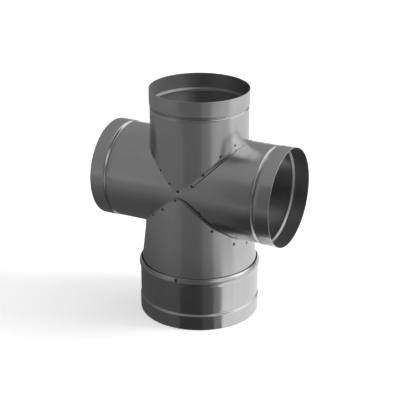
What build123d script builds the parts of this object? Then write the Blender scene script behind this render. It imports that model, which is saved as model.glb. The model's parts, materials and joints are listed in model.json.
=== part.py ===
from build123d import *
import os

os.makedirs("parts", exist_ok=True)

# Sheet metal, in millimetres
sheet = 0.6  # thickness of the stainless sheet
lap_gap = 0.05  # room between two lapped and spot-welded sheets

# Pipes that the fitting takes
pipe_diameter = 130.0  # side arms and top branch
trunk_diameter = 160.0  # bottom socket
pipe_play = 0.2  # radial room for a pipe in its socket

# Reach of each mouth from the point where the axes cross
arm_reach = 130.0
top_reach = 130.0
trunk_drop = 182.0

# Stop groove that is rolled inward behind each socket
stop_inset = 23.0  # from an upper or side rim to the middle of its groove
trunk_stop_inset = 23.0  # the same on the bottom socket
groove_depth = 1.8  # below the wall behind it
groove_floor = 1.6  # flat bottom, along the axis
groove_flank = 2.2  # each sloping side, along the axis

# Saddle joints on the run
saddle_step = 0.1  # upright walls are this much inside the run's radius
lip_height = 8.0  # drawn lip of the run inside each upright wall

# Collar of the bottom socket round the taper
collar_height = 74.5  # bottom rim to the collar's top edge
collar_edge_gap = 0.5  # room between the collar's top edge and the taper
bead_rise = 1.6  # bead crest above the collar wall
bead_brow = 4.6  # top edge to the bead crest
bead_crest = 4.0  # height of the crest
bead_flank = 4.6  # crest to the collar wall
taper_foot = 58.0  # bottom rim to the end of the taper
spigot_length = 14.0  # plain end of the taper inside the collar

# Radii and heights that follow from these
run_radius = pipe_diameter / 2
upright_radius = run_radius - saddle_step
arm_band = run_radius + pipe_play + sheet
trunk_radius = trunk_diameter / 2
trunk_band = trunk_radius + pipe_play + sheet
spigot_radius = trunk_radius - sheet - lap_gap
taper_slope = (spigot_radius - upright_radius) / (trunk_drop - taper_foot)
lip_radius = upright_radius - sheet - lap_gap
lip_bore = lip_radius - sheet
run_plane = Plane(origin=(0, 0, trunk_drop), x_dir=(1, 0, 0), z_dir=(0, -1, 0))
run_section = Plane(origin=(0, 0, trunk_drop), x_dir=(0, 1, 0), z_dir=(1, 0, 0))
upright_plane = Plane(origin=(0, 0, 0), x_dir=(0, 0, 1), z_dir=(0, 1, 0))
trunk_plane = Plane(origin=(0, 0, 0), x_dir=(0, 0, -1), z_dir=(0, -1, 0))


def taper_radius(height):
    return upright_radius + (trunk_drop - height) * taper_slope


# Outer line of a socket: plain wall, stop groove, expanded band, rim
def socket_line(start, rim, wall, band, inset):
    valley = rim - inset
    floor_edge = groove_floor / 2
    flank_edge = floor_edge + groove_flank
    Polyline(
        (start, wall),
        (valley - flank_edge, wall),
        (valley - floor_edge, wall - groove_depth),
        (valley + floor_edge, wall - groove_depth),
        (valley + flank_edge, band),
        (rim, band),
    )


# Run tube: one straight tube with a socket at each end and two drawn openings
with BuildPart() as run_tube:
    # Upright lips, long enough to be trimmed to the saddle
    with BuildSketch(run_plane) as lip_walls:
        reach = run_radius + 2 * lip_height
        with BuildLine():
            Polyline(
                (lip_bore, 0),
                (lip_bore, reach),
                (lip_radius, reach),
                (lip_radius, 0),
                (lip_radius + reach * taper_slope, -reach),
                (lip_bore + reach * taper_slope, -reach),
                close=True,
            )
        make_face()
    revolve(axis=Axis.Z)
    with BuildSketch(run_section) as lip_trim:
        with Locations((0, lip_height), (0, -lip_height)):
            Circle(run_radius)
    extrude(amount=arm_reach, both=True, mode=Mode.INTERSECT)
    with BuildSketch(run_section) as run_bore:
        Circle(run_radius - sheet)
    extrude(amount=arm_reach, both=True, mode=Mode.SUBTRACT)
    # Wall of the tube, one half and its mirror image
    with BuildSketch(run_plane) as run_wall:
        with BuildLine():
            socket_line(0, arm_reach, run_radius, arm_band, stop_inset)
            offset(amount=sheet, side=Side.RIGHT, kind=Kind.INTERSECTION)
        make_face()
        mirror(about=Plane.YZ)
    revolve(axis=Axis((0, 0, trunk_drop), (1, 0, 0)))
    # Way through the two openings
    with BuildSketch(run_plane) as upright_bore:
        with BuildLine():
            Polyline(
                (0, reach),
                (lip_bore, reach),
                (lip_bore, 0),
                (lip_bore + reach * taper_slope, -reach),
                (0, -reach),
                close=True,
            )
        make_face()
    revolve(axis=Axis.Z, mode=Mode.SUBTRACT)

# Top branch: saddle-cut tube with a socket
with BuildPart() as top_branch:
    with BuildSketch(upright_plane) as branch_wall:
        with BuildLine():
            socket_line(trunk_drop, trunk_drop + top_reach, upright_radius, arm_band, stop_inset)
            offset(amount=sheet, side=Side.RIGHT, kind=Kind.INTERSECTION)
        make_face()
    revolve(axis=Axis.Z)
    with BuildSketch(run_section) as branch_saddle:
        Circle(run_radius + lap_gap)
    extrude(amount=arm_reach, both=True, mode=Mode.SUBTRACT)

# Reducer cone: saddle-cut taper that ends in a plain spigot
with BuildPart() as reducer_cone:
    with BuildSketch(Plane.XZ) as taper_wall:
        with BuildLine():
            Polyline(
                (upright_radius, trunk_drop),
                (spigot_radius, taper_foot),
                (spigot_radius, taper_foot - spigot_length),
                (spigot_radius - sheet, taper_foot - spigot_length),
                (spigot_radius - sheet, taper_foot),
                (upright_radius - sheet, trunk_drop),
                close=True,
            )
        make_face()
    revolve(axis=Axis.Z)
    with BuildSketch(run_section) as taper_saddle:
        Circle(run_radius + lap_gap)
    extrude(amount=arm_reach, both=True, mode=Mode.SUBTRACT)

# Trunk socket: sleeve that turns in over a bead to meet the taper
with BuildPart() as trunk_socket:
    edge_radius = taper_radius(collar_height) + collar_edge_gap + sheet
    crest_radius = trunk_radius + bead_rise
    crest_start = bead_brow - collar_height
    crest_end = crest_start + bead_crest
    bead_foot = crest_end + bead_flank
    with BuildSketch(trunk_plane) as trunk_wall:
        with BuildLine():
            Polyline(
                (-collar_height, edge_radius),
                (crest_start, crest_radius),
                (crest_end, crest_radius),
                (bead_foot, trunk_radius),
            )
            socket_line(bead_foot, 0, trunk_radius, trunk_band, trunk_stop_inset)
            offset(amount=sheet, side=Side.RIGHT, kind=Kind.INTERSECTION)
        make_face()
    revolve(axis=Axis.Z)

run_tube.part.label = "run_tube"
export_step(run_tube.part, "parts/run_tube.step")
top_branch.part.label = "top_branch"
export_step(top_branch.part, "parts/top_branch.step")
reducer_cone.part.label = "reducer_cone"
export_step(reducer_cone.part, "parts/reducer_cone.step")
trunk_socket.part.label = "trunk_socket"
export_step(trunk_socket.part, "parts/trunk_socket.step")
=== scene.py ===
import json
import math

import bmesh
import bpy
from mathutils import Matrix, Vector
from mathutils.bvhtree import BVHTree


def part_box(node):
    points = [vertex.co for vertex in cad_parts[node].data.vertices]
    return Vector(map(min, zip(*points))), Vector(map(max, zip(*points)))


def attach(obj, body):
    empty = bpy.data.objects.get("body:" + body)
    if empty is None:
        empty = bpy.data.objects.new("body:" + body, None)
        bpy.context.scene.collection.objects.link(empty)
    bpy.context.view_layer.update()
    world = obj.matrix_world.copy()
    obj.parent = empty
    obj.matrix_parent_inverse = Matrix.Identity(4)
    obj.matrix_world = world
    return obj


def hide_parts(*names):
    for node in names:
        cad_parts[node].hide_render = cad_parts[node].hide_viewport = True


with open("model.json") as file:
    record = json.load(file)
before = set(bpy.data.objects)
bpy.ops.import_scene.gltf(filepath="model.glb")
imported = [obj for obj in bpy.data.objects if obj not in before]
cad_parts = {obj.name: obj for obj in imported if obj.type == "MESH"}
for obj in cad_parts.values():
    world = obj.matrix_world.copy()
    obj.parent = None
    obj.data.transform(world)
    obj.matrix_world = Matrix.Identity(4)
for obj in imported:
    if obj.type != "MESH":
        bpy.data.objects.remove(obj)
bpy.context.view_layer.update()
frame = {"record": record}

mounts = {mount["name"]: mount for mount in frame["record"]["mounts"]}
crossing = mounts["right_bore"]["pos_m"][2]  # height where the axes cross
armBore = mounts["right_bore"]["dims"]["r_mm"] / 1000
trunkBore = mounts["trunk_bore"]["dims"]["r_mm"] / 1000
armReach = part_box("run_tube")[1].x
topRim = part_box("top_branch")[1].z
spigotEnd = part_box("reducer_cone")[0].z
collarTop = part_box("trunk_socket")[1].z
print("frame loaded, axes cross at", round(crossing, 4))


class Wire:  # a socket that takes part in arithmetic
    def __init__(self, bench, socket):
        self.bench = bench
        self.socket = socket

    def out(self, name):
        return Wire(self.bench, self.socket.node.outputs[name])

    def pin(self, index):
        return Wire(self.bench, self.socket.node.outputs[index])

    def math(self, operation, *others):
        return self.bench.math(operation, self, *others)

    def __add__(self, other):
        return self.math("ADD", other)

    def __radd__(self, other):
        return self.math("ADD", other)

    def __sub__(self, other):
        return self.math("SUBTRACT", other)

    def __rsub__(self, other):
        return self.bench.math("SUBTRACT", other, self)

    def __mul__(self, other):
        return self.math("MULTIPLY", other)

    def __rmul__(self, other):
        return self.math("MULTIPLY", other)

    def __truediv__(self, other):
        return self.math("DIVIDE", other)

    def __rtruediv__(self, other):
        return self.bench.math("DIVIDE", other, self)

    def __neg__(self):
        return self.math("MULTIPLY", -1.0)

    def clamped(self):
        return self.math("MAXIMUM", 0.0).math("MINIMUM", 1.0)


class Bench:  # builds one node tree
    def __init__(self, tree):
        self.tree = tree
        tree.nodes.clear()

    def add(self, kind, settings=None, sockets=None):
        node = self.tree.nodes.new(kind)
        for name, value in (settings or {}).items():
            if name == "stops":
                self.setStops(node.color_ramp, value)
            else:
                setattr(node, name, value)
        for name, value in (sockets or {}).items():
            for part in value if isinstance(value, list) else [value]:
                if isinstance(part, Wire):
                    self.tree.links.new(part.socket, node.inputs[name])
                else:
                    node.inputs[name].default_value = part
        return Wire(self, node.outputs[0]) if len(node.outputs) else None

    def setStops(self, ramp, stops):
        while len(ramp.elements) < len(stops):
            ramp.elements.new(1.0)
        for element, (place, tone) in zip(ramp.elements, stops):
            element.position = place
            element.color = (tone, tone, tone, 1)

    def math(self, operation, *values):
        return self.add("ShaderNodeMath", {"operation": operation}, dict(enumerate(values)))

    def vector(self, x, y, z):
        return self.add("ShaderNodeCombineXYZ", None, {"X": x, "Y": y, "Z": z})

    def noise(self, place, scale, detail=2.0, roughness=0.5):
        sockets = {"Vector": place, "Scale": scale, "Detail": detail, "Roughness": roughness}
        return self.add("ShaderNodeTexNoise", None, sockets)

    def stretched(self, place, scale):
        return self.add("ShaderNodeMapping", None, {"Vector": place, "Scale": scale})

    def blended(self, factor, first, second):
        sockets = {0: factor, 6: first, 7: second}
        return self.add("ShaderNodeMix", {"data_type": "RGBA"}, sockets).pin(2)

    def named(self, label):
        return self.add("ShaderNodeAttribute", {"attribute_name": label}).out("Fac")

    def apart(self, vector):
        return self.add("ShaderNodeSeparateXYZ", None, {"Vector": vector})


def shapeTree(name, inputs):
    tree = bpy.data.node_groups.new(name, "GeometryNodeTree")
    tree.interface.new_socket("Geometry", in_out="INPUT", socket_type="NodeSocketGeometry")
    for label, kind in inputs.items():
        tree.interface.new_socket(label, in_out="INPUT", socket_type="NodeSocket" + kind)
    tree.interface.new_socket("Geometry", in_out="OUTPUT", socket_type="NodeSocketGeometry")
    bench = Bench(tree)
    return bench, bench.add("NodeGroupInput")


# Ends a tree: plain geometry with the finish that the tree is given
def handOver(bench, entry, geometry):
    whole = bench.add("GeometryNodeRealizeInstances", None, {"Geometry": geometry})
    sockets = {"Geometry": whole, "Material": entry.out("Finish")}
    painted = bench.add("GeometryNodeSetMaterial", None, sockets)
    bench.add("NodeGroupOutput", None, {"Geometry": painted})
    return bench.tree


# Runs a tree on a piece and keeps the outcome as a plain mesh
def bakeShape(piece, tree, values):
    modifier = piece.modifiers.new(tree.name, "NODES")
    modifier.node_group = tree
    for item in tree.interface.items_tree:
        if item.in_out == "INPUT" and item.name in values:
            modifier[item.identifier] = values[item.name]
    graph = bpy.context.evaluated_depsgraph_get()
    shaped = piece.evaluated_get(graph)
    mesh = bpy.data.meshes.new_from_object(shaped, preserve_all_data_layers=True, depsgraph=graph)
    piece.modifiers.remove(modifier)
    piece.data = mesh
    mesh.name = piece.name
    work = bmesh.new()
    work.from_mesh(mesh)
    if work.calc_volume(signed=True) < 0:
        bmesh.ops.reverse_faces(work, faces=work.faces)
    openEdges = sum(not edge.is_manifold for edge in work.edges)
    work.to_mesh(mesh)
    work.free()
    mesh.shade_smooth()
    mesh.set_sharp_from_angle(angle=math.radians(sheetMetal["crease"]))
    print(piece.name, len(mesh.polygons), "faces,", openEdges, "open edges")


sheetMetal = {
    "thickness": 0.0006,
    "edgeRound": 0.00014,  # softened corners of a cut edge
    "pipePlay": 0.0002,  # room round a pipe in its socket
    "around": 360,  # steps round a tube
    "uprightRows": 40,  # steps along each wall
    "runRows": 24,
    "collarRows": 10,
    "crowding": 0.44,  # closer steps round the run at front and back
    "mergeReach": 0.000005,
    "middleReach": 0.000001,  # faces this near to the run's middle are cut out
    "crease": 35,  # degrees, sharper edges stay sharp
}

stopGroove = {
    "inset": 0.023,  # rim to the middle of the groove
    "depth": 0.0018,
    "bodyFlank": 0.0021,
    "rimFlank": 0.0030,
    "steps": 9,  # rows down each side of the groove
    "bandSteps": 4,  # and from there to the rim
}

saddle = {
    "step": 0.0001,  # upright walls are this much inside the run's radius
    "lapGap": 0.00005,
    "lipGap": 0.0003,  # between a lip and the wall round it
    "flare": 0.00065,  # the edge is dressed outwards over the run
    "flareWidth": 0.0055,
    "upperLap": 0.0044,  # the edges are turned out over the right arm
    "lowerLap": 0.0046,
    "lapStart": -0.12,  # cosines where the lap starts and how far on it is full
    "lapGrowth": 0.42,
    "leastLap": 0.0002,  # a shorter lap stays part of the wall
    "lapBend": 0.0016,  # half the width of the bend
    "lapBendShare": 0.6,  # of a short lap
    "leastBend": 0.00001,
    "lapLift": 0.26,  # rise of the lap off the run at the front, as a slope
    "lipHeight": 0.008,
    "lipRows": (0.35, 0.7, 1.0),
    "lipRamp": 0.012,  # the lip dies away over this distance at the tips
}

taper = {
    "foot": 0.058,  # end of the taper above the bottom rim
    "footRows": (0.008, 0.001),  # above the foot
    "spigotRows": (0.001, 0.007),  # below it
    "spigotGap": 0.00005,
}

collar = {
    "edgeGap": 0.0008,  # between the collar's top edge and the taper
    "beadRise": 0.0016,
    "brow": 0.0066,  # top edge to the bead's crest
    "flank": 0.0066,  # crest to the plain wall
    "steps": 10,
}

thickness = sheetMetal["thickness"]
runRadius = armBore - sheetMetal["pipePlay"]
uprightRadius = runRadius - saddle["step"]
armBand = armBore + thickness
trunkRadius = trunkBore - sheetMetal["pipePlay"]
trunkBand = trunkBore + thickness
spigotRadius = trunkRadius - thickness - taper["spigotGap"]
taperSlope = (spigotRadius - uprightRadius) / (crossing - taper["foot"])
lipRadius = uprightRadius - thickness - saddle["lipGap"]
saddleRadius = runRadius + saddle["lapGap"]


def taperRadius(height):
    return uprightRadius + taperSlope * (crossing - height)


collarEdge = taperRadius(collarTop) + collar["edgeGap"] + thickness


# Eased step from 0 to 1
def swell(share):
    return 0.5 - 0.5 * math.cos(math.pi * min(max(share, 0.0), 1.0))


# Outer line of a socket from its groove to its rim: distance from the rim, radius
def socketLine(wall, band):
    inset = stopGroove["inset"]
    bodyFlank = stopGroove["bodyFlank"]
    rimFlank = stopGroove["rimFlank"]
    steps = stopGroove["steps"]
    valley = wall - stopGroove["depth"]
    line = []
    for i in range(steps + 1):
        radius = wall + (valley - wall) * swell(i / steps)
        line.append((inset + bodyFlank * (1 - i / steps), radius))
    for i in range(1, steps + 1):
        radius = valley + (band - valley) * swell(i / steps)
        line.append((inset - rimFlank * i / steps, radius))
    bandSteps = stopGroove["bandSteps"]
    for i in range(1, bandSteps + 1):
        line.append(((inset - rimFlank) * (1 - i / bandSteps), band))
    return line


# Closed section of a sheet from its outer line. A point of the line has its place along the
# axis, its radius and its share of the way to the saddle. A point of the section also has its
# depth below the outer face
def sheetSection(line, roundStart, roundEnd):
    ease = sheetMetal["edgeRound"]
    outer = [Vector(point[:2]) for point in line]
    shares = [point[2] for point in line]
    last = len(outer) - 1
    inner = []
    normals = []
    for i in range(last + 1):
        run = (outer[min(i + 1, last)] - outer[max(i - 1, 0)]).normalized()
        normal = Vector((-run.y, run.x))
        if normal.y < 0:
            normal.negate()
        normals.append(normal)
        inner.append(outer[i] - normal * thickness)
    startRun = (outer[1] - outer[0]).normalized() * ease
    endRun = (outer[last] - outer[last - 1]).normalized() * ease
    outerLine = list(zip(outer, shares))
    innerLine = list(zip(inner, shares))[::-1]
    if roundEnd:
        outerLine[-1] = (outer[last] - endRun, shares[last])
        outerLine.append((outer[last] - normals[last] * ease, shares[last]))
        innerLine[0] = (inner[last] - endRun, shares[last])
        innerLine.insert(0, (inner[last] + normals[last] * ease, shares[last]))
    if roundStart:
        outerLine[0] = (outer[0] + startRun, shares[0])
        outerLine.insert(0, (outer[0] - normals[0] * ease, shares[0]))
        innerLine[-1] = (inner[0] + startRun, shares[0])
        innerLine.append((inner[0] + normals[0] * ease, shares[0]))
    section = [(place.x, place.y, share, 0.0) for place, share in outerLine]
    return section + [(place.x, place.y, share, thickness) for place, share in innerLine]


# A section as a mesh of loose points, radius along x and the axis along z
def sectionPiece(name, section, extras=None):
    mesh = bpy.data.meshes.new(name + ".section")
    mesh.from_pydata([(point[1], 0, point[0]) for point in section], [], [])
    layers = {
        "share": [point[2] for point in section],
        "depth": [point[3] for point in section],
    }
    layers.update(extras or {})
    for label, numbers in layers.items():
        mesh.attributes.new(label, "FLOAT", "POINT").data.foreach_set("value", numbers)
    piece = bpy.data.objects.new(name, mesh)
    bpy.context.scene.collection.objects.link(piece)
    return piece


# Rows of the swept grid: each takes one point of the section
def sweptGrid(bench, entry):
    section = entry.out("Geometry")
    sockets = {"Geometry": section}
    count = bench.add("GeometryNodeAttributeDomainSize", {"component": "MESH"}, sockets)
    points = count.out("Point Count")
    sockets = {"Vertices X": entry.out("Around") + 1.0, "Vertices Y": points + 1.0}
    grid = bench.add("GeometryNodeMeshGrid", None, sockets)
    spot = bench.apart(grid.out("UV Map"))
    row = (spot.out("Y") * points).math("ROUND").math("MODULO", points)

    def sampled(value, kind):
        sockets = {"Geometry": section, "Value": value, "Index": row}
        return bench.add("GeometryNodeSampleIndex", {"data_type": kind}, sockets)

    def layer(name):
        value = bench.add("GeometryNodeInputNamedAttribute", None, {"Name": name})
        return sampled(value, "FLOAT")

    place = bench.apart(sampled(bench.add("GeometryNodeInputPosition"), "FLOAT_VECTOR"))
    return grid.out("Mesh"), spot.out("X") * math.tau, place.out("X"), place.out("Z"), layer


# Puts each point of the swept grid in its place and marks the inner face
def placeSheet(bench, mesh, layer, place):
    shaped = bench.add("GeometryNodeSetPosition", None, {"Geometry": mesh, "Position": place})
    inner = layer("depth").math("GREATER_THAN", thickness / 2)
    sockets = {"Geometry": shaped, "Name": "inside", "Value": inner}
    return bench.add("GeometryNodeStoreNamedAttribute", {"data_type": "FLOAT"}, sockets)


# Stores how near each point lies to a spot weld, then hands over the mesh
def finishSheet(bench, entry, geometry):
    sockets = {"Geometry": geometry, "Distance": sheetMetal["mergeReach"]}
    merged = bench.add("GeometryNodeMergeByDistance", None, sockets)
    welds = bench.add("GeometryNodeObjectInfo", None, {"Object": entry.out("Welds")})
    sockets = {"Geometry": welds.out("Geometry")}
    near = bench.add("GeometryNodeProximity", {"target_element": "POINTS"}, sockets)
    heat = (1.0 - near.out("Distance") / entry.out("Heat Reach")).clamped()
    sockets = {"Geometry": merged, "Name": "heat", "Value": heat}
    stored = bench.add("GeometryNodeStoreNamedAttribute", {"data_type": "FLOAT"}, sockets)
    return handOver(bench, entry, stored)


commonInputs = {
    "Around": "Int",
    "Crossing": "Float",
    "Taper": "Float",
    "Welds": "Object",
    "Heat Reach": "Float",
    "Finish": "Material",
}


# Upright sheets: spun about z, one end drawn along the saddle and lapped over the right arm
def uprightTree():
    inputs = dict(commonInputs)
    for label in ("Run Radius", "Upright Radius", "Side", "Plain Level", "Flare", "Flare Width",
                  "Lap", "Lap Bend", "Lap Lift", "Sheet"):
        inputs[label] = "Float"
    bench, entry = shapeTree("uprightSheet", inputs)
    mesh, angle, radius, axial, layer = sweptGrid(bench, entry)
    slope = entry.out("Taper")
    reach = entry.out("Upright Radius")
    run = entry.out("Run Radius")
    side = entry.out("Side")
    sine = angle.math("SINE")
    cosine = angle.math("COSINE")
    square = sine * sine
    lean = slope * slope * square + 1.0
    middle = reach * slope * square
    under = middle * middle - lean * (reach * reach * square - run * run)
    seam = (middle + side * under.math("MAXIMUM", 0.0).math("SQRT")) / lean

    # Rows near the seam share out the way from the plain wall to the lap's edge
    share = layer("share")
    right = ((cosine - saddle["lapStart"]) / saddle["lapGrowth"]).clamped()
    lap = entry.out("Lap") * right * right * (3.0 - 2.0 * right)
    start = entry.out("Plain Level") - entry.out("Crossing")
    toEdge = share * ((start - seam) * side + lap)
    isWall = share.math("GREATER_THAN", 0.0)
    height = (axial - entry.out("Crossing")) * (1.0 - isWall) + (start - side * toEdge) * isWall
    above = (height - seam) * side
    near = (1.0 - above.math("ABSOLUTE") / entry.out("Flare Width")).clamped()
    bare = 1.0 - lap / entry.out("Lap").math("MAXIMUM", saddle["leastLap"] / 2)
    level = entry.out("Crossing") + height
    wide = radius + slope * (axial - level) + entry.out("Flare") * near * near * bare
    wall = bench.vector(wide * cosine, wide * sine, level)

    # The lap lies on the run, which is unrolled here about its axis
    foot = reach - slope * seam
    out = -above
    lift = run + entry.out("Sheet") - layer("depth")
    lift = lift + entry.out("Lap Lift") * square * out.math("MAXIMUM", 0.0)
    turn = (foot * sine / run).math("MAXIMUM", -1.0).math("MINIMUM", 1.0).math("ARCSINE")
    skew = (1.0 + square).math("SQRT")
    bent = turn + out * (sine / skew) / run
    along = foot * cosine + out / skew
    level = entry.out("Crossing") + side * lift * bent.math("COSINE")
    onRun = bench.vector(along, lift * bent.math("SINE"), level)

    # The bend between the two, and plain wall where there is no lap
    bend = entry.out("Lap Bend").math("MINIMUM", lap * saddle["lapBendShare"])
    bend = bend + saddle["leastBend"]
    blend = (above / bend * 0.5 + 0.5).clamped()
    blend = blend * blend * (3.0 - 2.0 * blend)
    blend = blend.math("MAXIMUM", isWall.math("LESS_THAN", 0.5))
    blend = blend.math("MAXIMUM", lap.math("LESS_THAN", saddle["leastLap"]))
    sockets = {0: blend, 4: onRun, 5: wall}
    place = bench.add("ShaderNodeMix", {"data_type": "VECTOR"}, sockets).pin(1)
    return finishSheet(bench, entry, placeSheet(bench, mesh, layer, place))


# Run: half a tube spun about x, its inner end drawn round both openings, then mirrored
def runTree():
    inputs = dict(commonInputs)
    for label in ("Crowding", "Lip Height", "Lip Ramp"):
        inputs[label] = "Float"
    bench, entry = shapeTree("runSheet", inputs)
    mesh, turn, radius, axial, layer = sweptGrid(bench, entry)
    angle = turn - entry.out("Crowding") * (turn * 2.0).math("SINE")
    sine = angle.math("SINE")
    depth = radius * angle.math("COSINE")
    level = radius * sine
    lower = level.math("LESS_THAN", 0.0)
    bore = layer("bore") + entry.out("Taper") * (-level).math("MAXIMUM", 0.0)
    gap = (bore * bore - depth * depth).math("MAXIMUM", 0.0).math("SQRT")
    rise = layer("lip") * entry.out("Lip Height") * (gap / entry.out("Lip Ramp")).clamped()
    spread = 1.0 + entry.out("Taper") * lower * rise / bore
    along = axial + layer("share") * gap * spread
    height = entry.out("Crossing") + level + sine.math("SIGN") * rise
    shaped = placeSheet(bench, mesh, layer, bench.vector(along, depth * spread, height))
    across = bench.apart(bench.add("GeometryNodeInputPosition")).out("X")
    middle = across.math("ABSOLUTE").math("LESS_THAN", sheetMetal["middleReach"])
    sockets = {"Geometry": shaped, "Selection": middle}
    half = bench.add("GeometryNodeDeleteGeometry", {"domain": "FACE"}, sockets)
    other = bench.add("GeometryNodeTransform", None, {"Geometry": half, "Scale": (-1, 1, 1)})
    other = bench.add("GeometryNodeFlipFaces", None, {"Mesh": other})
    both = bench.add("GeometryNodeJoinGeometry", None, {"Geometry": [half, other]})
    return finishSheet(bench, entry, both)


# Rows from 0 to 1, closer together at the start
def crowdedRows(count, power=1.6):
    return [(i / count) ** power for i in range(count + 1)]


spotWelds = {
    # front half: degrees round the upright, then metres from the saddle's edge into the upright
    "upperSeam": ((-152, 0.005), (-132, 0.005), (-113, 0.0056), (-99, 0.0058), (-88, 0.0035),
                  (-72, -0.0011), (-60, 0.0029), (-38, 0.0048), (-18, 0.005)),
    "lowerSeam": ((-158, 0.005), (-141, 0.005), (-124, 0.0035), (-108, 0.0062), (-91, 0.0034),
                  (-64, -0.0050), (-49, 0.0044), (-24, 0.008), (-4, 0.0076)),
    "backLeast": 0.0045,  # the back half repeats the front, but no nearer to the edge than this
    "collarEdge": (-85, 35, 155),
    "collarDrop": 0.0014,
    "collarRise": 0.9,  # of the bead's height
    "collarLean": 0.5,
    "seatReach": 0.004,  # welds are dropped on the sheet from this far out
    "heatReach": 0.010,
    "radius": 0.0029,
    "sizes": (0.85, 1.15),
    "seed": 7,
    "around": 16,
    "rows": 8,
    "ring": 0.07,  # raised ring, fall to the rim, middle and depth, in radii
    "fall": 0.05,
    "middle": 0.03,
    "depth": 0.12,
    "mergeReach": 0.001,
}


# Height of the saddle's edge above or below the crossing
def saddleHeight(degrees, side):
    slope = taperSlope if side < 0 else 0.0
    square = math.sin(math.radians(degrees)) ** 2
    lean = 1 + slope * slope * square
    middle = uprightRadius * slope * square
    under = middle * middle - lean * (uprightRadius ** 2 * square - saddleRadius ** 2)
    return (middle + side * math.sqrt(max(under, 0.0))) / lean


# One point for each spot weld, with the way that it faces
def weldPoints():
    places = []
    facings = []

    def mark(degrees, radius, height, lean):
        turn = math.radians(degrees)
        out = Vector((math.cos(turn), math.sin(turn), lean))
        places.append((out.x * radius, out.y * radius, height))
        facings.append(out.normalized())

    for half, least in ((0, -1.0), (180, spotWelds["backLeast"])):
        for degrees, beyond in spotWelds["upperSeam"]:
            level = saddleHeight(degrees + half, 1) + max(beyond, least)
            mark(degrees + half, uprightRadius, crossing + level, 0.0)
        for degrees, beyond in spotWelds["lowerSeam"]:
            level = saddleHeight(degrees + half, -1) - max(beyond, least)
            mark(degrees + half, uprightRadius - taperSlope * level, crossing + level, taperSlope)
    onBead = collarEdge + collar["beadRise"] * spotWelds["collarRise"]
    for degrees in spotWelds["collarEdge"]:
        mark(degrees, onBead, collarTop - spotWelds["collarDrop"], spotWelds["collarLean"])
    mesh = bpy.data.meshes.new("weldPoints")
    mesh.from_pydata(places, [], [])
    facing = mesh.attributes.new("facing", "FLOAT_VECTOR", "POINT")
    facing.data.foreach_set("vector", [number for way in facings for number in way])
    piece = bpy.data.objects.new("spot_welds", mesh)
    bpy.context.scene.collection.objects.link(piece)
    return piece


# Moves each weld to the nearest point of a sheet's outer face, facing out of it
def seatWelds(welds, pieces):
    trees = []
    for piece in pieces:
        corners = [vertex.co for vertex in piece.data.vertices]
        faces = [face.vertices for face in piece.data.polygons]
        trees.append(BVHTree.FromPolygons(corners, faces))
    facings = []
    for point in welds.data.vertices:
        away = Vector((point.co.x, point.co.y, 0)).normalized() * spotWelds["seatReach"]
        finds = [tree.find_nearest(point.co + away) for tree in trees]
        place, normal, face, distance = min(finds, key=lambda found: found[3])
        point.co = place
        facings.extend(normal)
    welds.data.attributes["facing"].data.foreach_set("vector", facings)


# Shallow round mark that a spot welder leaves, a raised ring about a dished middle
def weldTree():
    inputs = {"Radius": "Float", "Finish": "Material", "Seed": "Int"}
    bench, entry = shapeTree("spotWelds", inputs)
    sockets = {"Vertices X": spotWelds["around"] + 1, "Vertices Y": spotWelds["rows"] + 1}
    grid = bench.add("GeometryNodeMeshGrid", None, sockets)
    spot = bench.apart(grid.out("UV Map"))
    turn = spot.out("X") * math.tau
    share = 1.0 - (spot.out("Y") * 2.0 - 1.0).math("ABSOLUTE")
    under = spot.out("Y").math("GREATER_THAN", 0.51)  # flat underside, inside the sheet
    crown = spotWelds["ring"] * (share * math.pi * 1.5).math("SINE")
    crown = crown - spotWelds["fall"] * share * share + spotWelds["middle"]
    lift = crown * (1.0 - under) - spotWelds["depth"] * under
    place = bench.vector(share * turn.math("COSINE"), share * turn.math("SINE"), lift)
    sockets = {"Geometry": grid.out("Mesh"), "Position": place}
    button = bench.add("GeometryNodeSetPosition", None, sockets)
    sockets = {"Geometry": button, "Distance": spotWelds["mergeReach"]}
    button = bench.add("GeometryNodeMergeByDistance", None, sockets)
    settings = {"data_type": "FLOAT_VECTOR"}
    facing = bench.add("GeometryNodeInputNamedAttribute", settings, {"Name": "facing"})
    turned = bench.add("FunctionNodeAlignRotationToVector", {"axis": "Z"}, {"Vector": facing})
    least, most = spotWelds["sizes"]
    sockets = {"Min": least, "Max": most, "Seed": entry.out("Seed")}
    chance = bench.add("FunctionNodeRandomValue", {"data_type": "FLOAT"}, sockets)
    sockets = {
        "Points": entry.out("Geometry"),
        "Instance": button,
        "Rotation": turned,
        "Scale": entry.out("Radius") * chance.out("Value"),
    }
    placed = bench.add("GeometryNodeInstanceOnPoints", None, sockets)
    return handOver(bench, entry, placed)


stainless = {
    "pale": (0.60, 0.60, 0.605, 1),
    "dull": (0.515, 0.515, 0.52, 1),
    "tint": (0.10, 0.085, 0.07, 1),  # heat mark round a weld
    "tintStrength": 0.75,
    "smudgeShare": 0.6,  # of the change from dull to pale, the rest is streaks
    "dullEnd": 0.3,
    "contrast": 2.5,
    "roughness": 0.22,
    "smudgeRoughness": 0.10,  # what smudges, streaks and heat add
    "streakRoughness": 0.06,
    "heatRoughness": 0.12,
    "innerRoughness": 0.32,
    # painted shade: the inner face's colour is darkened by this share
    "innerTone": 0.60,
    "uprightInnerMetal": 0.62,  # a dulled inner face scatters some light
    "runInnerMetal": 0.86,
    "streakWidth": 0.0012,
    "streakLength": 0.15,
    "flatWidth": 0.022,  # faint flats left by the rolls
    "flatDepth": 0.00006,
    "streakDepth": 0.00002,
    "streakStrength": 0.10,
    "smudgeSize": 0.05,
}


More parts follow.
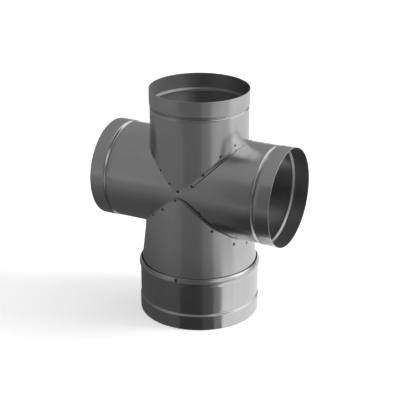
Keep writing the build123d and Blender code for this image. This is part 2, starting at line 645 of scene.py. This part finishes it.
# Satin stainless sheet with streaks along the tube's own axis
def stainlessFinish(name, alongRun, innerMetal):
    material = bpy.data.materials.new(name)
    material.use_nodes = True
    bench = Bench(material.node_tree)
    place = bench.add("ShaderNodeTexCoord").out("Object")
    wide = 1 / stainless["streakWidth"]
    long = 1 / stainless["streakLength"]
    flat = 1 / stainless["flatWidth"]
    streakScale = (long, wide, wide) if alongRun else (wide, wide, long)
    flatScale = (long, flat, flat) if alongRun else (flat, flat, long)
    streaks = bench.noise(bench.stretched(place, streakScale), 1.0, 3.0, 0.6)
    flats = bench.noise(bench.stretched(place, flatScale), 1.0, 1.0)
    smudges = bench.noise(place, 1 / stainless["smudgeSize"], 4.0, 0.6)
    heat = bench.named("heat")
    inside = bench.named("inside")
    mark = heat * heat * stainless["tintStrength"]
    share = stainless["smudgeShare"]
    tone = share * smudges + (1 - share) * streaks
    tone = (tone - stainless["dullEnd"]) * stainless["contrast"]
    colour = bench.blended(tone.clamped(), stainless["dull"], stainless["pale"])
    colour = bench.blended(mark.clamped(), colour, stainless["tint"])
    # the inner face's colour is darkened: painted shade inside the tubes
    sockets = {0: colour, "Scale": stainless["innerTone"]}
    shade = bench.add("ShaderNodeVectorMath", {"operation": "SCALE"}, sockets)
    colour = bench.blended(inside, colour, shade)
    rough = stainless["roughness"] + stainless["smudgeRoughness"] * (smudges - 0.5)
    rough = rough + stainless["streakRoughness"] * (streaks - 0.5)
    rough = rough + stainless["heatRoughness"] * mark
    rough = rough + (stainless["innerRoughness"] - stainless["roughness"]) * inside
    sockets = {"Height": flats, "Strength": 1.0, "Distance": stainless["flatDepth"]}
    relief = bench.add("ShaderNodeBump", None, sockets)
    sockets = {
        "Height": streaks,
        "Strength": stainless["streakStrength"],
        "Distance": stainless["streakDepth"],
        "Normal": relief,
    }
    relief = bench.add("ShaderNodeBump", None, sockets)
    sockets = {
        "Base Color": colour,
        "Roughness": rough.clamped(),
        "Metallic": 1.0 - (1.0 - innerMetal) * inside,
        "Normal": relief,
    }
    shader = bench.add("ShaderNodeBsdfPrincipled", None, sockets)
    bench.add("ShaderNodeOutputMaterial", None, {"Surface": shader})
    return material


burntMetal = {
    "dark": (0.09, 0.085, 0.08, 1),
    "light": (0.21, 0.20, 0.19, 1),
    "grain": 900.0,
    "grainDepth": 0.0001,
    "grainStrength": 0.3,
    "roughness": 0.35,
    "grainRoughness": 0.25,
}


# Burnt, grainy metal of a spot weld
def weldFinish():
    material = bpy.data.materials.new("weldMark")
    material.use_nodes = True
    bench = Bench(material.node_tree)
    place = bench.add("ShaderNodeTexCoord").out("Object")
    grain = bench.noise(place, burntMetal["grain"], 3.0, 0.6)
    colour = bench.blended(grain, burntMetal["dark"], burntMetal["light"])
    rough = burntMetal["roughness"] + burntMetal["grainRoughness"] * grain
    sockets = {
        "Height": grain,
        "Strength": burntMetal["grainStrength"],
        "Distance": burntMetal["grainDepth"],
    }
    relief = bench.add("ShaderNodeBump", None, sockets)
    sockets = {"Base Color": colour, "Roughness": rough, "Metallic": 1.0, "Normal": relief}
    shader = bench.add("ShaderNodeBsdfPrincipled", None, sockets)
    bench.add("ShaderNodeOutputMaterial", None, {"Surface": shader})
    return material


uprightFinish = stainlessFinish("stainlessUpright", False, stainless["uprightInnerMetal"])
runFinish = stainlessFinish("stainlessRun", True, stainless["runInnerMetal"])
weldMarks = weldPoints()
sheetValues = {
    "Around": sheetMetal["around"],
    "Crossing": crossing,
    "Taper": 0.0,
    "Welds": weldMarks,
    "Heat Reach": spotWelds["heatReach"],
    "Finish": uprightFinish,
    "Run Radius": saddleRadius,
    "Upright Radius": uprightRadius,
    "Side": 1.0,
    "Flare": 0.0,
    "Flare Width": saddle["flareWidth"],
    "Plain Level": crossing,
    "Lap": 0.0,
    "Lap Bend": saddle["lapBend"],
    "Lap Lift": saddle["lapLift"],
    "Sheet": thickness,
}
spinUpright = uprightTree()
print("trees ready")


def makeTopBranch():
    seamLevel = crossing + saddleRadius
    line = socketLine(uprightRadius, armBand)
    socket = [(topRim - fromRim, radius, 0.0) for fromRim, radius in line]
    plainLevel = socket[0][0]
    wall = []
    for step in crowdedRows(sheetMetal["uprightRows"])[:-1]:
        wall.append((seamLevel + step * (plainLevel - seamLevel), uprightRadius, 1 - step))
    piece = sectionPiece("top_branch_sheet", sheetSection(wall + socket, False, True))
    values = dict(sheetValues)
    values["Plain Level"] = plainLevel
    values["Flare"] = saddle["flare"]
    values["Lap"] = saddle["upperLap"]
    bakeShape(piece, spinUpright, values)
    return piece


def makeReducerCone():
    seamLevel = crossing - saddleRadius
    wall = []
    for step in crowdedRows(sheetMetal["uprightRows"]):
        height = seamLevel + step * (collarTop - seamLevel)
        wall.append((height, taperRadius(height), 1 - step))
    for above in taper["footRows"]:
        height = taper["foot"] + above
        wall.append((height, taperRadius(height), 0.0))
    for below in taper["spigotRows"]:
        wall.append((taper["foot"] - below, spigotRadius, 0.0))
    wall.append((spigotEnd, spigotRadius, 0.0))
    piece = sectionPiece("reducer_cone_sheet", sheetSection(wall, False, True))
    values = dict(sheetValues)
    values["Plain Level"] = collarTop
    values["Flare"] = saddle["flare"]
    values["Lap"] = saddle["lowerLap"]
    values["Side"] = -1.0
    values["Taper"] = taperSlope
    bakeShape(piece, spinUpright, values)
    return piece


def makeTrunkSocket():
    crest = trunkRadius + collar["beadRise"]
    steps = collar["steps"]
    line = []
    for i in range(steps):
        share = i / steps
        radius = collarEdge + (crest - collarEdge) * math.sin(share * math.pi / 2)
        line.append((collarTop - collar["brow"] * share, radius, 0.0))
    for i in range(steps + 1):
        level = collarTop - collar["brow"] - collar["flank"] * i / steps
        line.append((level, crest + (trunkRadius - crest) * swell(i / steps), 0.0))
    socket = [(fromRim, radius, 0.0) for fromRim, radius in socketLine(trunkRadius, trunkBand)]
    start = line[-1][0]
    rows = sheetMetal["collarRows"]
    for i in range(1, rows):
        line.append((start + (socket[0][0] - start) * i / rows, trunkRadius, 0.0))
    piece = sectionPiece("trunk_socket_sheet", sheetSection(line + socket, True, True))
    bakeShape(piece, spinUpright, dict(sheetValues))
    return piece


def makeRunTube():
    line = socketLine(runRadius, armBand)
    socket = [(armReach - fromRim, radius, 0.0) for fromRim, radius in line]
    wall = []
    for step in crowdedRows(sheetMetal["runRows"])[:-1]:
        wall.append((step * socket[0][0], runRadius, 1 - step))
    section = sheetSection(wall + socket, False, True)
    lips = [0.0] * len(section)
    lips += saddle["lipRows"] + saddle["lipRows"][::-1]  # up the inner face, down the outer
    for depth in (thickness, 0.0):
        section += [(0.0, runRadius - depth, 1.0, depth)] * len(saddle["lipRows"])
    bores = [lipRadius - point[3] for point in section]
    piece = sectionPiece("run_tube_sheet", section, {"lip": lips, "bore": bores})
    values = dict(sheetValues)
    values["Taper"] = taperSlope
    values["Crowding"] = sheetMetal["crowding"]
    values["Finish"] = runFinish
    values["Lip Height"] = saddle["lipHeight"]
    values["Lip Ramp"] = saddle["lipRamp"]
    bakeShape(piece, runTree(), values)
    return piece


sheets = {
    "run_tube": makeRunTube(),
    "top_branch": makeTopBranch(),
    "reducer_cone": makeReducerCone(),
    "trunk_socket": makeTrunkSocket(),
}
seatWelds(weldMarks, [sheets["top_branch"], sheets["reducer_cone"], sheets["trunk_socket"]])
weldValues = {"Radius": spotWelds["radius"], "Finish": weldFinish(), "Seed": spotWelds["seed"]}
bakeShape(weldMarks, weldTree(), weldValues)

for node, piece in sheets.items():
    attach(piece, "root")
    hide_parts(node)
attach(weldMarks, "root")
print("sheets and welds in place")

photoView = {
    "azimuth": 27.46,  # degrees from the front towards +x
    "elevation": 22.49,
    "distance": 1.5887,
    "aside": 0.0007,  # the aim lies right of the crossing
    "below": 0.0255,  # and below it
    "lens": 107.4,
    "sensor": 36,
    "farthest": 40,
}


# Right, up and back of a camera that looks at the object
def viewAxes(azimuth, elevation):
    turn = math.radians(azimuth)
    tilt = math.radians(elevation)
    right = Vector((math.cos(turn), math.sin(turn), 0))
    level = Vector((math.sin(turn), -math.cos(turn), 0)) * math.cos(tilt)
    back = level + Vector((0, 0, math.sin(tilt)))
    return right, back.cross(right), back


# Places a camera or lamp so that it looks along its axes at the aim
def aimAt(holder, axes, aim, distance):
    turn = Matrix(axes).transposed().to_4x4()
    holder.matrix_world = Matrix.Translation(aim + axes[2] * distance) @ turn
    bpy.context.scene.collection.objects.link(holder)


def makeCamera():
    right, up, back = viewAxes(photoView["azimuth"], photoView["elevation"])
    aim = Vector((0, 0, crossing)) + right * photoView["aside"] - up * photoView["below"]
    lens = bpy.data.cameras.new("camera")
    lens.lens = photoView["lens"]
    lens.sensor_width = photoView["sensor"]
    lens.clip_end = photoView["farthest"]
    camera = bpy.data.objects.new("camera", lens)
    aimAt(camera, (right, up, back), aim, photoView["distance"])
    bpy.context.scene.camera = camera


studio = {
    "floorSize": 30.0,
    "floorTone": 0.92,
    "floorGrain": 40.0,
    "floorMottle": 0.98,
    "floorGlow": 0.62,
    "roomTone": 0.125,  # dim room at the front, and where it begins and is full
    "roomStart": 0.62,
    "roomFull": 0.80,
    "roomEdge": 0.60,  # it ends where the bright right side starts
    "roomEdgeWidth": 0.18,
    "roomLow": 0.35,  # below this height it spreads farther to the right
    "roomSpread": 0.35,
    "roomTurn": 0.3,  # the spread grows from the middle to this far right
    "skyDiffuse": 0.45,  # share of the sky's light that falls on dull surfaces
    # from left to right
    "skyTones": [(0.0, 0.11), (0.28, 0.325), (0.5, 0.375), (0.74, 0.41), (0.9, 0.9)],
}

# Soft panels: degrees to the right of the camera and above the floor, then metres and watts
panels = {
    "keyPanel": {
        "bearing": 105, "height": 48, "distance": 9.0, "size": 12.0, "power": 365, "mirrored": True,
    },
    "sidePanel": {
        "bearing": 85, "height": 28, "distance": 5.0, "size": 1.5, "power": 115, "mirrored": False,
    },
}

# Glowing sheets seen only in the metal, painted reflections of the floor: darker beside the foot at
# the front and left as painted shadow, brighter at the right as painted light.
# By the side of the foot that they lie before: degrees to the right of the camera, then tones
# beside the foot, farther off and beyond
reflectionCards = {
    "leftCard": {"from": -89, "to": -19, "near": 0.098, "far": 0.212, "rest": 0.32},
    "frontCard": {"from": -19, "to": 3, "near": 0.048, "far": 0.168, "rest": 0.125},
    "innerCard": {"from": 3, "to": 14, "near": 0.09, "far": 0.27, "rest": 0.125},
    "edgeCard": {"from": 14, "to": 22, "near": 0.25, "far": 0.52, "rest": 0.22},
    "rightCard": {"from": 22, "to": 36, "near": 0.95, "far": 0.575, "rest": 0.40},
    "rimCard": {"from": 36, "to": 89, "near": 1.0, "far": 0.82, "rest": 1.0},
}

# Upright glowing sheet at the front left, seen only in the metal: painted darker reflection bands
# for the right arm to mirror
screen = {
    "distance": 0.72,  # in front of the run's axis
    "edges": (-0.33, -0.235, -0.05),
    "tones": (0.225, 0.15),
    "bottom": 0.05,
    "top": 0.75,
}

cardShape = {
    "inner": 0.0815,  # where the cards start, beside the foot
    "outer": 14.0,
    "height": 0.0005,
    "nearEnd": 0.2,  # distances where one tone passes into the next
    "farStart": 0.6,
    "farEnd": 1.1,
    "restStart": 1.6,
    "steps": 24,
}


def grey(tone):
    return (tone, tone, tone, 1)


# Pale floor that also shows its own white to the camera and to the metal
def floorFinish():
    material = bpy.data.materials.new("paleFloor")
    material.use_nodes = True
    bench = Bench(material.node_tree)
    tone = studio["floorTone"]
    place = bench.add("ShaderNodeTexCoord").out("Object")
    grain = bench.noise(place, studio["floorGrain"], 3.0)
    colour = bench.blended(grain, grey(tone * studio["floorMottle"]), grey(tone))
    matt = bench.add("ShaderNodeBsdfDiffuse", None, {"Color": colour})
    path = bench.add("ShaderNodeLightPath")
    seen = path.out("Is Camera Ray").math("MAXIMUM", path.out("Is Glossy Ray"))
    seen = seen.math("MAXIMUM", path.out("Is Transmission Ray"))
    glow = bench.add("ShaderNodeEmission", None, {"Strength": seen * studio["floorGlow"]})
    shader = bench.add("ShaderNodeAddShader", None, {0: matt, 1: glow})
    bench.add("ShaderNodeOutputMaterial", None, {"Surface": shader})
    return material


def makeFloor():
    half = studio["floorSize"] / 2
    mesh = bpy.data.meshes.new("floor")
    corners = [(-half, -half, 0), (half, -half, 0), (half, half, 0), (-half, half, 0)]
    mesh.from_pydata(corners, [], [(0, 1, 2, 3)])
    floor = bpy.data.objects.new("floor", mesh)
    mesh.materials.append(floorFinish())
    bpy.context.scene.collection.objects.link(floor)


# A soft panel, placed by its bearing from the camera's side and aimed at the object
def softPanel(name, panel):
    axes = viewAxes(photoView["azimuth"] + panel["bearing"], panel["height"])
    lamp = bpy.data.lights.new(name, "AREA")
    lamp.size = panel["size"]
    lamp.energy = panel["power"]
    holder = bpy.data.objects.new(name, lamp)
    holder.visible_glossy = panel["mirrored"]
    aimAt(holder, axes, Vector((0, 0, crossing)), panel["distance"])


def makeWorld():
    world = bpy.data.worlds.new("studio")
    bpy.context.scene.world = world
    world.use_nodes = True
    bench = Bench(world.node_tree)
    way = bench.add("ShaderNodeTexCoord").out("Generated")
    side = bench.apart(way).out("X")
    height = bench.apart(way).out("Z")
    spread = (1.0 - height / studio["roomLow"]).clamped() * studio["roomSpread"]
    spread = spread * (side / studio["roomTurn"]).clamped()
    settings = {"stops": studio["skyTones"]}
    colour = bench.add("ShaderNodeValToRGB", settings, {"Fac": 0.5 + 0.5 * side})
    front = viewAxes(photoView["azimuth"], photoView["elevation"])[2]
    settings = {"operation": "DOT_PRODUCT"}
    facing = bench.add("ShaderNodeVectorMath", settings, {0: way, 1: front}).out("Value")
    start = studio["roomStart"] - spread
    room = ((facing - start) / (studio["roomFull"] - studio["roomStart"])).clamped()
    edge = studio["roomEdge"] + studio["roomEdgeWidth"] + spread
    room = room * ((edge - side) / studio["roomEdgeWidth"]).clamped()
    colour = bench.blended(room, colour, grey(studio["roomTone"]))
    dull = bench.add("ShaderNodeLightPath").out("Is Diffuse Ray")
    strength = 1.0 - (1.0 - studio["skyDiffuse"]) * dull
    shader = bench.add("ShaderNodeBackground", None, {"Color": colour, "Strength": strength})
    bench.add("ShaderNodeOutputWorld", None, {"Surface": shader})


# Glowing card that is seen in the metal alone, a painted reflection, with three tones by the
# distance from the foot
def addReflectionCard(name, spots, faces, tones):
    mesh = bpy.data.meshes.new(name)
    mesh.from_pydata(spots, [], faces)
    material = bpy.data.materials.new(name)
    material.use_nodes = True
    bench = Bench(material.node_tree)
    place = bench.add("ShaderNodeTexCoord").out("Object")
    length = bench.add("ShaderNodeVectorMath", {"operation": "LENGTH"}, {0: place})

    def passed(start, end):
        return ((length.out("Value") - start) / (end - start)).clamped()

    # painted reflection: the tone beside the foot stands for the floor's shadow at the front and
    # left, and for lit floor at the right
    near, far, rest = [grey(tone) for tone in tones]
    colour = bench.blended(passed(cardShape["nearEnd"], cardShape["farStart"]), near, far)
    colour = bench.blended(passed(cardShape["farEnd"], cardShape["restStart"]), colour, rest)
    shader = bench.add("ShaderNodeEmission", None, {"Color": colour, "Strength": 1.0})
    bench.add("ShaderNodeOutputMaterial", None, {"Surface": shader})
    mesh.materials.append(material)
    piece = bpy.data.objects.new(name, mesh)
    piece.visible_camera = False
    piece.visible_diffuse = False
    piece.visible_shadow = False
    piece.visible_transmission = False
    bpy.context.scene.collection.objects.link(piece)


# Fan on the floor: a ray starts beside the foot and leaves as the wall there mirrors the camera
def makeReflectionFan(name, card):
    spots = []
    steps = cardShape["steps"]
    for i in range(steps + 1):
        facing = card["from"] + (card["to"] - card["from"]) * i / steps
        wall = viewAxes(photoView["azimuth"] + facing, 0)[2]
        ray = viewAxes(photoView["azimuth"] + 2 * facing, 0)[2]
        start = wall * cardShape["inner"] + Vector((0, 0, cardShape["height"]))
        spots += [start, start + ray * cardShape["outer"]]
    faces = [(2 * i, 2 * i + 1, 2 * i + 3, 2 * i + 2) for i in range(steps)]
    addReflectionCard(name, spots, faces, (card["near"], card["far"], card["rest"]))


def makeReflectionScreen():
    depth = -screen["distance"]
    for i, tone in enumerate(screen["tones"]):
        left, right = screen["edges"][i:i + 2]
        spots = [(left, depth, screen["bottom"]), (right, depth, screen["bottom"])]
        spots += [(right, depth, screen["top"]), (left, depth, screen["top"])]
        addReflectionCard("screen" + str(i + 1), spots, [(0, 1, 2, 3)], (tone, tone, tone))


makeCamera()
makeFloor()
makeWorld()
for cardName, card in reflectionCards.items():
    makeReflectionFan(cardName, card)
makeReflectionScreen()
for panelName, panel in panels.items():
    softPanel(panelName, panel)
bpy.context.scene.view_settings.view_transform = "Standard"
print("camera and studio ready")
